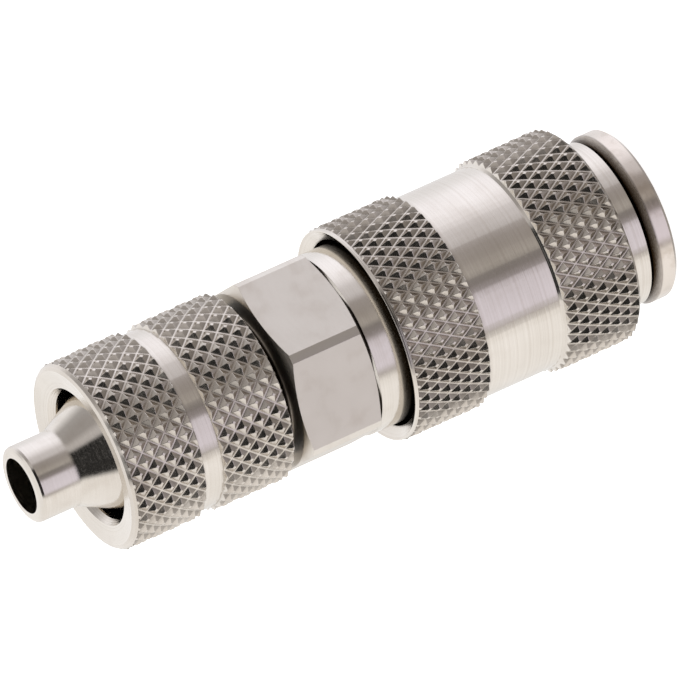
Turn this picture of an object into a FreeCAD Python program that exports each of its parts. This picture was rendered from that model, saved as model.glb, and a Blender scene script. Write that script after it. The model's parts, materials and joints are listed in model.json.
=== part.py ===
import FreeCAD, Part
import math
import os
import re

import Sketcher
from FreeCAD import Rotation, Vector

# Socket half of a small compressed-air quick coupling, turned from brass and nickel plated.
# The axis is Z. The mouth that takes the plug is at z = 0 and the hose spigot points up, so the
# coupling stands on the flat face of its mouth flange. All sizes are in millimetres.

doc = FreeCAD.newDocument("quick_coupling")
sizes = doc.addObject("Spreadsheet::Sheet", "sizes")

DRIVING_SIZES = [
    # mouth flange, body tube and the plug's bore
    ("flange_r", 4.35, "radius of the mouth flange"),
    ("flange_length", 1.20, "length of the mouth flange"),
    ("flange_front_bevel", 0.16, "bevel on the flange's front edge"),
    ("flange_rear_bevel", 0.28, "bevel on the flange's rear edge"),
    ("body_r", 3.40, "radius of the body tube on which the sleeve runs"),
    ("guide_bore_r", 2.80, "radius of the wider bore that guides the plug"),
    ("guide_bore_depth", 4.20, "depth of the wider bore that guides the plug"),
    ("plug_bore_r", 2.60, "radius of the bore for the plug's nose"),
    ("plug_bore_depth", 7.60, "depth of the plug's bore"),
    ("mouth_bevel", 0.45, "lead-in bevel of the mouth"),
    ("plug_seal_z", 6.35, "front of the plug seal's groove"),
    ("plug_seal_width", 0.80, "width of the plug seal's groove"),
    ("plug_seal_depth", 0.42, "depth of the plug seal's groove"),
    ("plug_seal_lip", 0.18, "how far the seal's lip stands into the bore"),
    ("seat_bore_r", 1.60, "radius of the hole in the valve seat"),
    ("seat_length", 0.80, "length of the valve seat"),
    ("valve_chamber_r", 2.40, "radius of the valve chamber"),
    ("body_thread_r", 2.95, "radius of the body's rear thread"),
    ("body_thread_length", 2.30, "length of the body's rear thread"),
    ("slack", 0.02, "slack between pieces that are seated on each other"),
    ("running_gap", 0.05, "radial gap of a running fit"),
    # lock balls
    ("ball_r", 0.75, "radius of a lock ball"),
    ("ball_z", 5.30, "distance of the balls from the mouth"),
    ("ball_reach", 0.40, "how far a locked ball stands into the plug's bore"),
    ("ball_hole_gap", 0.04, "gap between a ball and its hole"),
    ("lock_slope", 0.365, "rise of the locking cone per length"),
    ("sleeve_travel", 1.15, "stroke of the release sleeve"),
    # release sleeve
    ("sleeve_gap", 0.20, "gap between flange and sleeve"),
    ("sleeve_nose_r", 4.20, "radius of the sleeve's nose"),
    ("sleeve_nose_length", 1.30, "length of the sleeve's nose"),
    ("knurl_rim", 0.10, "plain bevelled rim beside a knurled band"),
    ("knurl_lap", 0.05, "how far a rim lies under the knurl beside it"),
    ("grip_band_length", 4.00, "length of a knurled band on the sleeve"),
    ("grip_plain_r", 5.22, "radius of the plain band between the knurls"),
    ("grip_plain_length", 4.35, "length of the plain band between the knurls"),
    ("grip_rim_length", 0.20, "length of the sleeve's bevelled rear rim"),
    ("grip_rim_wall", 0.14, "width of the sleeve's flat rear end"),
    ("grip_crest_r", 5.50, "radius over the sleeve's knurls"),
    ("grip_knurl_depth", 0.20, "height of the points of the sleeve's knurls"),
    ("relief_r", 4.25, "radius of the relief that lets the balls out"),
    ("relief_gap", 0.10, "gap between relief and released balls"),
    ("land_length", 0.80, "length of the sleeve's inner land"),
    ("spring_room_gap", 0.38, "gap between sleeve spring and sleeve"),
    ("collar_gap", 0.20, "gap between the adapter's collar and the sleeve's rear bore"),
    ("sleeve_stop_gap", 0.10, "stroke left before the sleeve meets its stop"),
    # springs
    ("sleeve_wire", 0.45, "wire of the sleeve spring"),
    ("sleeve_spring_gap", 0.12, "gap between sleeve spring and body tube"),
    ("sleeve_spring_turns", 4.0, "turns of the sleeve spring"),
    ("valve_wire", 0.30, "wire of the valve spring"),
    ("valve_spring_gap", 0.12, "gap between valve spring and its pilot"),
    ("valve_spring_turns", 4.0, "turns of the valve spring"),
    ("spring_end_gap", 0.04, "gap between a spring's end and its seat"),
    # valve poppet
    ("poppet_nose_length", 2.20, "length of the poppet's nose"),
    ("poppet_slot", 0.90, "width of the cross slots in the poppet's nose"),
    ("poppet_slot_depth", 2.00, "depth of the cross slots in the poppet's nose"),
    ("poppet_neck_r", 1.05, "radius of the neck that holds the valve seal"),
    ("valve_seal_width", 0.50, "thickness of the valve seal"),
    ("poppet_disc_gap", 0.35, "gap between the poppet's disc and the valve chamber"),
    ("poppet_disc_width", 0.70, "thickness of the poppet's disc"),
    ("poppet_pilot_r", 1.30, "radius of the pilot in the valve spring"),
    ("poppet_pilot_length", 1.20, "length of the pilot in the valve spring"),
    # hose adapter
    ("adapter_front_z", 12.30, "distance of the adapter's front from the mouth"),
    ("adapter_seal_width", 0.50, "thickness of the adapter's seal"),
    ("collar_r", 4.60, "radius of the adapter's collar"),
    ("collar_bevel", 0.24, "length of the bevel between collar and hexagon"),
    ("hex_z", 16.54, "distance of the hexagon from the mouth"),
    ("hex_length", 4.46, "length of the hexagon"),
    ("hex_across_flats", 9.00, "wrench size of the hexagon"),
    ("hex_corner_r", 5.07, "radius to which the hexagon's corners are turned"),
    ("hex_face_step", 0.02, "how far the flat ends stay inside the hexagon's flats"),
    ("hex_front_bevel", 0.51, "length of the bevel at the hexagon's front"),
    ("hex_rear_bevel", 0.22, "length of the bevel at the hexagon's rear"),
    ("hex_cutter_room", 0.40, "how far the cutter of a flat reaches past the corners"),
    ("neck_r", 3.50, "radius of the undercut behind the hexagon"),
    ("neck_length", 0.95, "length of the undercut behind the hexagon"),
    ("nut_thread_r", 3.88, "radius of the thread for the union nut"),
    ("nut_thread_length", 3.60, "length of the thread for the union nut"),
    ("thread_bevel", 0.30, "bevel at the end of a thread"),
    ("hose_cone_r", 2.95, "radius at the root of the hose cone"),
    ("hose_cone_z", 29.70, "distance of the hose cone's root from the mouth"),
    ("spigot_z", 31.70, "distance of the plain spigot from the mouth"),
    ("spigot_r", 1.95, "radius of the hose spigot"),
    ("spigot_edge", 0.25, "rounding of the spigot's tip"),
    ("flow_bore_r", 1.42, "radius of the flow bore"),
    ("overall_length", 33.90, "length over all"),
    # union nut
    ("nut_gap", 0.62, "gap between hexagon and union nut"),
    ("nut_crest_r", 4.82, "radius over the nut's knurls"),
    ("nut_knurl_depth", 0.18, "height of the points of the nut's knurls"),
    ("nut_plain_r", 4.58, "radius of the plain groove between the nut's knurls"),
    ("nut_band_length", 3.75, "length of a knurled band on the nut"),
    ("nut_plain_length", 1.05, "length of the plain groove between the nut's knurls"),
    ("nut_bevel", 0.26, "bevel at the nut's rear face"),
    ("nut_mouth_r", 3.32, "radius of the nut's mouth"),
    ("nut_mouth_bevel", 0.22, "width of the bevel of the nut's mouth"),
    ("nut_mouth_lead", 0.50, "length of the bevel of the nut's mouth"),
    ("nut_mouth_length", 2.10, "length of the nut's mouth"),
    ("nut_clamp_length", 1.20, "length of the cone that clamps the hose"),
]
BALL_COUNT = 6
HEX_SIDES = 6
SLOT_SIDES = 4
WIRE_SIDES = 4
GRIP_POINT_COUNT = 48
GRIP_ROW_COUNT = 6
NUT_POINT_COUNT = 33
NUT_ROW_COUNT = 7
SKETCH_START = Vector(2, 2, 0)

for row, (alias, value, note) in enumerate(DRIVING_SIZES, start=1):
    sizes.set(f"A{row}", note)
    sizes.set(f"B{row}", str(value))
    sizes.setAlias(f"B{row}", alias)
doc.recompute()


def bound(text):
    """Return an expression in which every plain word is a named size."""
    return re.sub(r"\b([a-z][a-z_]*)\b", r"sizes.\1", text)


def origin_part(body, role):
    """Return the plane or axis of a body's origin that plays the given role."""
    return next(item for item in body.Origin.OriginFeatures if item.Role == role)


def add_outline(body, name, plane, corners):
    """Add a sketch with a closed outline whose corners are pairs of expressions."""
    sketch = body.newObject("Sketcher::SketchObject", name)
    sketch.AttachmentSupport = [(origin_part(body, plane), "")]
    sketch.MapMode = "FlatFace"
    count = len(corners)
    ring = [SKETCH_START + Rotation(Vector(0, 0, 1), 360 * index / count).multVec(Vector(1, 0, 0))
            for index in range(count)]
    for index in range(count):
        sketch.addGeometry(Part.LineSegment(ring[index], ring[(index + 1) % count]), False)
    for index in range(count):
        sketch.addConstraint(Sketcher.Constraint("Coincident", index, 2, (index + 1) % count, 1))
    for index, (across, along) in enumerate(corners):
        for kind, axis, start, text in (("DistanceX", -2, ring[index].x, across),
                                        ("DistanceY", -1, ring[index].y, along)):
            if text == "0":
                sketch.addConstraint(Sketcher.Constraint("PointOnObject", index, 1, axis))
                continue
            place = sketch.addConstraint(Sketcher.Constraint(kind, -1, 1, index, 1, start))
            sketch.setExpression(f"Constraints[{place}]", bound(text))
    return sketch


def turned_piece(label, corners):
    """Turn an outline of radius and height pairs into a body of revolution."""
    body = doc.addObject("PartDesign::Body", label)
    sketch = add_outline(body, f"{label}_outline", "XZ_Plane", corners)
    turning = body.newObject("PartDesign::Revolution", f"{label}_turning")
    turning.Profile = sketch
    turning.ReferenceAxis = (sketch, ["V_Axis"])
    turning.Angle = 360
    doc.recompute()
    return body


def repeat_around(body, feature, count):
    """Repeat a feature around the body's axis."""
    pattern = body.newObject("PartDesign::PolarPattern", f"{feature.Name}_pattern")
    pattern.Originals = [feature]
    pattern.Axis = (origin_part(body, "Z_Axis"), [""])
    pattern.Angle = 360
    pattern.Occurrences = count
    body.Tip = pattern
    doc.recompute()


def coiled_spring(label, mean_r, wire, turns, bottom, top):
    """Sweep a square wire along a helix between two seats."""
    first = f"{bottom} + spring_end_gap + {wire} / 2"
    helix = doc.addObject("Part::Helix", f"{label}_path")
    helix.setExpression("Radius", bound(mean_r))
    helix.setExpression("Height", bound(f"{top} - spring_end_gap - {wire} / 2 - ({first})"))
    helix.setExpression("Pitch", bound(f"({top} - spring_end_gap - {wire} / 2 - ({first})) / {turns}"))
    helix.setExpression("Placement.Base.z", bound(first))
    section = doc.addObject("Part::RegularPolygon", f"{label}_section")
    section.Polygon = WIRE_SIDES
    section.setExpression("Circumradius", bound(f"{wire} / 2 ^ 0.5"))
    section.Placement.Rotation = Rotation(Vector(1, 0, 0), 90) * Rotation(Vector(0, 0, 1), 45)
    section.setExpression("Placement.Base.x", bound(mean_r))
    section.setExpression("Placement.Base.z", bound(first))
    spring = doc.addObject("Part::Sweep", label)
    spring.Sections = [section]
    spring.Spine = (helix, [])
    spring.Frenet = True
    spring.Solid = True
    doc.recompute()
    return spring


def knurled_ring(name, crest_r, knurl_depth, inner_r, length, around, rows, bottom):
    """Make a ring with staggered pyramids, whose points lie on the crest radius."""
    half_row = length / (rows + 1)
    half_step = math.pi / around
    groove_r = crest_r - knurl_depth

    def point(step, row, radius=groove_r):
        turn = step * half_step
        return Vector(radius * math.cos(turn), radius * math.sin(turn), row * half_row)

    def facet(*corners):
        return Part.Face(Part.makePolygon([*corners, corners[0]]))

    facets = []
    for row in range(1, rows + 1):
        for step in range(row % 2, 2 * around, 2):
            tip = point(step, row, crest_r)
            foot = [point(step + 1, row), point(step, row + 1), point(step - 1, row), point(step, row - 1)]
            facets += [facet(tip, foot[side - 1], foot[side]) for side in range(len(foot))]
    for row, inward in ((0, 1), (rows + 1, -1)):
        steps = range(row % 2, 2 * around, 2)
        facets += [facet(point(step - 1, row), point(step + 1, row), point(step, row + inward))
                   for step in steps]
        facets.append(facet(*[point(step + 1, row) for step in steps]))
    skin = Part.makeShell(facets)
    skin.sewShape()
    ring = doc.addObject("Part::Feature", name)
    ring.Shape = Part.Solid(skin).cut(Part.makeCylinder(inner_r, length))
    ring.setExpression("Placement.Base.z", bound(bottom))
    return ring


def joined(label, pieces):
    """Fuse pieces that are cut from one bar."""
    whole = doc.addObject("Part::MultiFuse", label)
    whole.Shapes = pieces
    doc.recompute()
    return whole


# Heights that several pieces share, each written from the driving sizes.
sleeve_front = "flange_length + sleeve_gap"
front_knurl = f"{sleeve_front} + sleeve_nose_length + knurl_rim"
front_knurl_end = f"{front_knurl} + grip_band_length"
rear_knurl = f"{front_knurl_end} + grip_plain_length"
rear_knurl_end = f"{rear_knurl} + grip_band_length"
sleeve_rear = f"{rear_knurl_end} + grip_rim_length"
seat_rear = "plug_bore_depth + seat_length"
body_rear = "adapter_front_z + body_thread_length"
adapter_floor = f"{body_rear} + adapter_seal_width"
hex_rear = "hex_z + hex_length"
nut_front = f"{hex_rear} + nut_gap"
nut_front_knurl = f"{nut_front} + knurl_rim"
nut_rear_knurl = f"{nut_front_knurl} + nut_band_length + nut_plain_length"
nut_rear_knurl_end = f"{nut_rear_knurl} + nut_band_length"
nut_rear = f"{nut_rear_knurl_end} + nut_bevel"

# Body: mouth flange, tube with the plug's bore, seal groove, valve seat and chamber, rear thread.
seal_groove_r = "plug_bore_r + plug_seal_depth"
seal_groove_end = "plug_seal_z + plug_seal_width"
socket_body = turned_piece("socket_body", [
    ("guide_bore_r + mouth_bevel", "0"),
    ("flange_r - flange_front_bevel", "0"),
    ("flange_r", "flange_front_bevel"),
    ("flange_r", "flange_length - flange_rear_bevel"),
    ("flange_r - flange_rear_bevel", "flange_length"),
    ("body_r", "flange_length"),
    ("body_r", "adapter_front_z - slack"),
    ("body_thread_r", "adapter_front_z - slack"),
    ("body_thread_r", body_rear),
    ("valve_chamber_r", body_rear),
    ("valve_chamber_r", seat_rear),
    ("seat_bore_r", seat_rear),
    ("seat_bore_r", "plug_bore_depth"),
    ("plug_bore_r", "plug_bore_depth"),
    ("plug_bore_r", seal_groove_end),
    (seal_groove_r, seal_groove_end),
    (seal_groove_r, "plug_seal_z"),
    ("plug_bore_r", "plug_seal_z"),
    ("plug_bore_r", "guide_bore_depth + guide_bore_r - plug_bore_r"),
    ("guide_bore_r", "guide_bore_depth"),
    ("guide_bore_r", "mouth_bevel"),
])

# Ball holes: each narrows to a lip at its inner end, so that no ball falls into the bore.
ball_path_r = "plug_bore_r + ball_r - ball_reach"
hole_top = "ball_z + ball_r + ball_hole_gap"
lip_top = "ball_z + (ball_r ^ 2 - (ball_r - ball_reach) ^ 2) ^ 0.5 + ball_hole_gap"
hole_outline = add_outline(socket_body, "ball_hole_outline", "XZ_Plane", [
    ("plug_bore_r - mouth_bevel", "ball_z"),
    ("body_r + mouth_bevel", "ball_z"),
    ("body_r + mouth_bevel", hole_top),
    (f"{ball_path_r} - ball_hole_gap", hole_top),
    ("plug_bore_r", lip_top),
    ("plug_bore_r - mouth_bevel", lip_top),
])
ball_hole = socket_body.newObject("PartDesign::Groove", "ball_hole")
ball_hole.Profile = hole_outline
ball_hole.ReferenceAxis = (hole_outline, ["Edge1"])
ball_hole.Angle = 360
doc.recompute()
repeat_around(socket_body, ball_hole, BALL_COUNT)

# Seal in the body's bore: a moulded ring whose lip stands into the plug's way.
plug_seal = turned_piece("plug_seal", [
    ("plug_bore_r - plug_seal_lip", "plug_seal_z + plug_seal_width / 2"),
    ("plug_bore_r", "plug_seal_z + slack"),
    (f"{seal_groove_r} - slack", "plug_seal_z + slack"),
    (f"{seal_groove_r} - slack", f"{seal_groove_end} - slack"),
    ("plug_bore_r", f"{seal_groove_end} - slack"),
])

# Lock balls: held in the bore's way by the sleeve's cone until the sleeve is pulled back.
lock_balls = []
for number in range(BALL_COUNT):
    turn = 360 * number / BALL_COUNT
    ball = doc.addObject("Part::Sphere", f"lock_ball_{number + 1}")
    ball.setExpression("Radius", bound("ball_r"))
    ball.setExpression("Placement.Base.x", f"({bound(ball_path_r)}) * cos({turn})")
    ball.setExpression("Placement.Base.y", f"({bound(ball_path_r)}) * sin({turn})")
    ball.setExpression("Placement.Base.z", bound("ball_z"))
    lock_balls.append(ball)

# Valve poppet: slotted nose that the plug pushes, neck for the seal, disc and spring pilot.
nose_front = f"{seat_rear} - poppet_nose_length"
poppet_nose_r = "seat_bore_r - running_gap"
poppet_disc_r = "valve_chamber_r - poppet_disc_gap"
disc_front = f"{seat_rear} + slack + valve_seal_width"
disc_rear = f"{disc_front} + poppet_disc_width"
valve_poppet = turned_piece("valve_poppet", [
    ("0", nose_front),
    (poppet_nose_r, nose_front),
    (poppet_nose_r, seat_rear),
    ("poppet_neck_r", seat_rear),
    ("poppet_neck_r", disc_front),
    (poppet_disc_r, disc_front),
    (poppet_disc_r, disc_rear),
    ("poppet_pilot_r", disc_rear),
    ("poppet_pilot_r", f"{disc_rear} + poppet_pilot_length"),
    ("0", f"{disc_rear} + poppet_pilot_length"),
])
slot_outline = add_outline(valve_poppet, "nose_slot_outline", "XZ_Plane", [
    ("0", f"{nose_front} - slack"),
    ("poppet_slot / 2", f"{nose_front} - slack"),
    ("poppet_slot / 2", f"{nose_front} + poppet_slot_depth"),
    ("0", f"{nose_front} + poppet_slot_depth"),
])
nose_slot = valve_poppet.newObject("PartDesign::Pocket", "nose_slot")
nose_slot.Profile = slot_outline
nose_slot.Type = "ThroughAll"
nose_slot.SideType = "Symmetric"
doc.recompute()
repeat_around(valve_poppet, nose_slot, SLOT_SIDES)

valve_seal = turned_piece("valve_seal", [
    ("poppet_neck_r + slack", f"{seat_rear} + slack"),
    (poppet_disc_r, f"{seat_rear} + slack"),
    (poppet_disc_r, f"{disc_front} - slack"),
    ("poppet_neck_r + slack", f"{disc_front} - slack"),
])
valve_spring = coiled_spring(
    "valve_spring", "(poppet_pilot_r + valve_spring_gap + valve_wire / 2)", "valve_wire",
    "valve_spring_turns", disc_rear, adapter_floor)

# Release sleeve: runs on the body tube, with a relief and a locking cone for the balls inside.
# The cone keeps one ball radius and a slack, measured square to it, from a locked ball's centre.
sleeve_bore_r = "body_r + running_gap"
cone_over_ball_r = f"{ball_path_r} + (ball_r + slack) * (1 + lock_slope ^ 2) ^ 0.5"
cone_front = f"ball_z - (relief_r - ({cone_over_ball_r})) / lock_slope"
cone_rear = f"ball_z + ({cone_over_ball_r} - ({sleeve_bore_r})) / lock_slope"
land_rear = f"{cone_rear} + land_length"
relief_front = "ball_z - ball_r - sleeve_travel - relief_gap"
spring_room_r = "body_r + sleeve_spring_gap + sleeve_wire + spring_room_gap"
rear_bore_r = "collar_r + collar_gap"
rear_bore_front = "adapter_front_z - sleeve_travel - sleeve_stop_gap"
grip_rim_r = "grip_crest_r - knurl_lap"
sleeve_core = turned_piece("sleeve_core", [
    (sleeve_bore_r, sleeve_front),
    ("sleeve_nose_r", sleeve_front),
    ("sleeve_nose_r", f"{front_knurl} - knurl_rim"),
    (f"{grip_rim_r} - knurl_rim", f"{front_knurl} - knurl_rim"),
    (grip_rim_r, f"{front_knurl} - slack"),
    (grip_rim_r, f"{front_knurl} + knurl_lap"),
    ("grip_plain_r", f"{front_knurl} + knurl_lap"),
    ("grip_plain_r", f"{rear_knurl_end} - knurl_lap"),
    (grip_rim_r, f"{rear_knurl_end} - knurl_lap"),
    (grip_rim_r, f"{rear_knurl_end} + slack"),
    (f"{rear_bore_r} + grip_rim_wall", sleeve_rear),
    (rear_bore_r, sleeve_rear),
    (rear_bore_r, rear_bore_front),
    (spring_room_r, rear_bore_front),
    (spring_room_r, land_rear),
    (sleeve_bore_r, land_rear),
    (sleeve_bore_r, cone_rear),
    ("relief_r", cone_front),
    ("relief_r", relief_front),
    (sleeve_bore_r, relief_front),
])
grip_rings = [
    knurled_ring(name, sizes.grip_crest_r, sizes.grip_knurl_depth,
                 sizes.grip_plain_r - sizes.grip_knurl_depth, sizes.grip_band_length,
                 GRIP_POINT_COUNT, GRIP_ROW_COUNT, bottom)
    for name, bottom in (("front_grip_ring", front_knurl), ("rear_grip_ring", rear_knurl))
]
release_sleeve = joined("release_sleeve", [sleeve_core, *grip_rings])
sleeve_spring = coiled_spring(
    "sleeve_spring", "(body_r + sleeve_spring_gap + sleeve_wire / 2)", "sleeve_wire",
    "sleeve_spring_turns", f"({land_rear})", "adapter_front_z")

# Hose adapter: screwed on the body, with collar, hexagon, nut thread, hose cone and spigot.
thread_rear = f"{hex_rear} + neck_length + nut_thread_length"
hex_face_r = "hex_across_flats / 2 - hex_face_step"
hose_adapter = turned_piece("hose_adapter", [
    ("body_thread_r + slack", "adapter_front_z"),
    ("collar_r", "adapter_front_z"),
    ("collar_r", "hex_z - collar_bevel"),
    (hex_face_r, "hex_z"),
    ("hex_corner_r", "hex_z + hex_front_bevel"),
    ("hex_corner_r", f"{hex_rear} - hex_rear_bevel"),
    (hex_face_r, hex_rear),
    ("neck_r", hex_rear),
    ("neck_r", f"{hex_rear} + neck_length"),
    ("nut_thread_r", f"{hex_rear} + neck_length + thread_bevel"),
    ("nut_thread_r", f"{thread_rear} - thread_bevel"),
    ("nut_thread_r - thread_bevel", thread_rear),
    ("hose_cone_r", thread_rear),
    ("hose_cone_r", "hose_cone_z"),
    ("spigot_r", "spigot_z"),
    ("spigot_r", "overall_length - spigot_edge"),
    ("spigot_r - spigot_edge * (1 - 0.75 ^ 0.5)", "overall_length - spigot_edge / 2"),
    ("spigot_r - spigot_edge / 2", "overall_length - spigot_edge * (1 - 0.75 ^ 0.5)"),
    ("spigot_r - spigot_edge", "overall_length"),
    ("flow_bore_r", "overall_length"),
    ("flow_bore_r", adapter_floor),
    ("body_thread_r + slack", adapter_floor),
])
flat_outline = add_outline(hose_adapter, "hex_flat_outline", "XZ_Plane", [
    ("hex_across_flats / 2", "hex_z - slack"),
    ("hex_corner_r + hex_cutter_room", "hex_z - slack"),
    ("hex_corner_r + hex_cutter_room", f"{hex_rear} + slack"),
    ("hex_across_flats / 2", f"{hex_rear} + slack"),
])
hex_flat = hose_adapter.newObject("PartDesign::Pocket", "hex_flat")
hex_flat.Profile = flat_outline
hex_flat.Type = "ThroughAll"
hex_flat.SideType = "Symmetric"
doc.recompute()
repeat_around(hose_adapter, hex_flat, HEX_SIDES)

adapter_seal = turned_piece("adapter_seal", [
    ("valve_chamber_r", f"{body_rear} + slack"),
    ("body_thread_r", f"{body_rear} + slack"),
    ("body_thread_r", f"{adapter_floor} - slack"),
    ("valve_chamber_r", f"{adapter_floor} - slack"),
])

# Union nut: two knurled bands with a plain groove between them, thread and hose clamp inside.
nut_rim_r = "nut_crest_r - knurl_lap"
nut_bore_r = "nut_thread_r + running_gap"
nut_core = turned_piece("nut_core", [
    (nut_bore_r, nut_front),
    (f"{nut_rim_r} - knurl_rim", nut_front),
    (nut_rim_r, f"{nut_front_knurl} - slack"),
    (nut_rim_r, f"{nut_front_knurl} + knurl_lap"),
    ("nut_plain_r", f"{nut_front_knurl} + knurl_lap"),
    ("nut_plain_r", f"{nut_rear_knurl_end} - knurl_lap"),
    (nut_rim_r, f"{nut_rear_knurl_end} - knurl_lap"),
    (nut_rim_r, f"{nut_rear_knurl_end} + slack"),
    (f"{nut_rim_r} - nut_bevel", nut_rear),
    ("nut_mouth_r + nut_mouth_bevel", nut_rear),
    ("nut_mouth_r", f"{nut_rear} - nut_mouth_lead"),
    ("nut_mouth_r", f"{nut_rear} - nut_mouth_length"),
    (nut_bore_r, f"{nut_rear} - nut_mouth_length - nut_clamp_length"),
])
nut_rings = [
    knurled_ring(name, sizes.nut_crest_r, sizes.nut_knurl_depth,
                 sizes.nut_plain_r - sizes.nut_knurl_depth, sizes.nut_band_length,
                 NUT_POINT_COUNT, NUT_ROW_COUNT, bottom)
    for name, bottom in (("front_nut_ring", nut_front_knurl), ("rear_nut_ring", nut_rear_knurl))
]
union_nut = joined("union_nut", [nut_core, *nut_rings])

pieces = [socket_body, plug_seal, *lock_balls, valve_poppet, valve_seal, valve_spring,
          release_sleeve, sleeve_spring, hose_adapter, adapter_seal, union_nut]
doc.recompute()
for item in doc.Objects:
    if "Invalid" in item.State or "Error" in item.State:
        raise RuntimeError(f"{item.Label} did not build: {item.State}")
for piece in pieces:
    if piece.Shape.isNull() or not piece.Shape.isValid():
        raise RuntimeError(f"{piece.Label} has no valid shape")

os.makedirs("parts", exist_ok=True)
for piece in pieces:
    piece.Shape.exportStep(f"parts/{piece.Label}.step")
    print(f"{piece.Label}: {len(piece.Shape.Solids)} solid, {piece.Shape.Volume:.2f} cubic mm")
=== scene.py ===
# %% [markdown]
# # A pneumatic quick coupling, dressed for its portrait
#
# The coupling is already built as solids, in metres, standing on its mouth with the flow axis along Z.
# This lesson loads those solids, remakes the two knurled pieces and the two springs as finer meshes,
# shortens one bevel on a copy of the hose adapter, gives every surface its finish and sets up the light
# and the camera. The solids themselves are never moved: a finer mesh stands in the place of the solid
# that it replaces.

import json
import math
import random

import bmesh
import bpy
from mathutils import Matrix, Vector


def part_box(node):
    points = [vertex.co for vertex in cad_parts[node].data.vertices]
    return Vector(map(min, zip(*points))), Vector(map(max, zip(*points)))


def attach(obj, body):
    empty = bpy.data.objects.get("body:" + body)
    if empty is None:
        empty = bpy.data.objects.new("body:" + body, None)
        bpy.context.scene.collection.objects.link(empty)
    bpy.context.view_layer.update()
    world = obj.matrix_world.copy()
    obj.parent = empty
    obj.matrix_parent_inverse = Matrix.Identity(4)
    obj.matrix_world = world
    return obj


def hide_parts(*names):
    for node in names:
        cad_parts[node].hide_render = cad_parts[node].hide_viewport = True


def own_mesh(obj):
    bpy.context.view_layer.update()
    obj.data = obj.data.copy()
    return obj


MM = 0.001
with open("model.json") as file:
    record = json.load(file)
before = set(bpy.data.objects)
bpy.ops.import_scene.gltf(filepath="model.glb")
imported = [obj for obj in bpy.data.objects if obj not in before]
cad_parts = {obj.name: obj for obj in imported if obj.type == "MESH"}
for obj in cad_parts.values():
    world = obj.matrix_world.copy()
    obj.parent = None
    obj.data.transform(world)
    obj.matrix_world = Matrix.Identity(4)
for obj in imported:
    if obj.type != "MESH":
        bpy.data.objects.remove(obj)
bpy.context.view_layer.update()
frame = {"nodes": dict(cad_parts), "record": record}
nodes = frame["nodes"]

# %% [markdown]
# ## The camera
#
# The photograph was taken with a long lens. Seen with the coupling standing on its mouth, the camera
# looks down on it by 20.7 degrees and is rolled, so that the coupling lies across the picture and runs up
# to the right. A very long lens far away keeps parallel edges parallel. The camera could be turned by a
# constraint, but its three axes are built from the coupling's axis, from the direction in which the
# camera stands and from their cross product, because then each angle is one plain number.

# %% Place the camera
PICTURE_SIDE = 680
PIXELS_PER_MM = 21.015
LENS_PIXELS = 20000
SENSOR_WIDTH = 36
CAMERA_TILT = math.radians(20.67)
CAMERA_ROLL = math.radians(-24.2)
CAMERA_AZIMUTH = math.radians(-92.3)
AIM_HEIGHT = 15 * MM
AIM_RIGHT_PIXELS = 22.6
AIM_DOWN_PIXELS = -7.3

along = Vector((0, 0, 1))
toward = Vector((math.cos(CAMERA_AZIMUTH), math.sin(CAMERA_AZIMUTH), 0))
across = along.cross(toward)
tilt_cos, tilt_sin = math.cos(CAMERA_TILT), math.sin(CAMERA_TILT)
roll_cos, roll_sin = math.cos(CAMERA_ROLL), math.sin(CAMERA_ROLL)
right = roll_cos * (tilt_sin * toward - tilt_cos * along) + roll_sin * across
down = roll_sin * (tilt_sin * toward - tilt_cos * along) - roll_cos * across
away = -tilt_sin * along - tilt_cos * toward

distance = LENS_PIXELS / PIXELS_PER_MM * MM
aim = AIM_HEIGHT * along
place = (aim - right * (AIM_RIGHT_PIXELS / PIXELS_PER_MM * MM)
         - down * (AIM_DOWN_PIXELS / PIXELS_PER_MM * MM) - away * distance)

camera_data = bpy.data.cameras.new("portrait_camera")
camera_data.sensor_width = SENSOR_WIDTH
camera_data.lens = SENSOR_WIDTH * LENS_PIXELS / PICTURE_SIDE
camera = bpy.data.objects.new("portrait_camera", camera_data)
camera.matrix_world = Matrix.Translation(place) @ Matrix((right, -down, -away)).transposed().to_4x4()
bpy.context.scene.collection.objects.link(camera)
bpy.context.scene.camera = camera
print("camera distance in mm:", round(distance / MM), "lens:", round(camera_data.lens))

# %% [markdown]
# ## Small helpers for node trees
#
# A material is a graph, and a graph is easier to read when a node is made, set and wired in one line.
# `add_node` does that. The other helpers are the few steps that return often: sums and products, a
# value moved to another range, a soft step, a mix of two colours by a mask, a filled colour ramp and an
# empty node group.

# %% Node helpers
MIX_COLOURS = slice(6, 8)
MIX_RESULT = 2


def add_node(tree, kind, wires=(), **settings):
    """Add a node, set its properties and wire or fill its inputs."""
    node = tree.nodes.new(kind)
    for name, value in settings.items():
        setattr(node, name, value)
    for socket, value in dict(wires).items():
        if isinstance(value, bpy.types.NodeSocket):
            tree.links.new(value, node.inputs[socket])
        else:
            node.inputs[socket].default_value = value
    return node


def math_node(tree, operation, first, second):
    """Return the result of one calculation."""
    return add_node(tree, "ShaderNodeMath", {0: first, 1: second}, operation=operation).outputs[0]


def plus(tree, first, second):
    """Return the sum of two values."""
    return math_node(tree, "ADD", first, second)


def times(tree, first, second):
    """Return the product of two values."""
    return math_node(tree, "MULTIPLY", first, second)


def remap(tree, value, low, high, to_low=0.0, to_high=1.0, kind="LINEAR"):
    """Return a value moved from one range to another and held at both ends."""
    ends = {"Value": value, "From Min": low, "From Max": high, "To Min": to_low, "To Max": to_high}
    return add_node(tree, "ShaderNodeMapRange", ends, interpolation_type=kind).outputs[0]


def fade(tree, value, start, end):
    """Return a soft step between two values."""
    return remap(tree, value, start, end, kind="SMOOTHSTEP")


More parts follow.
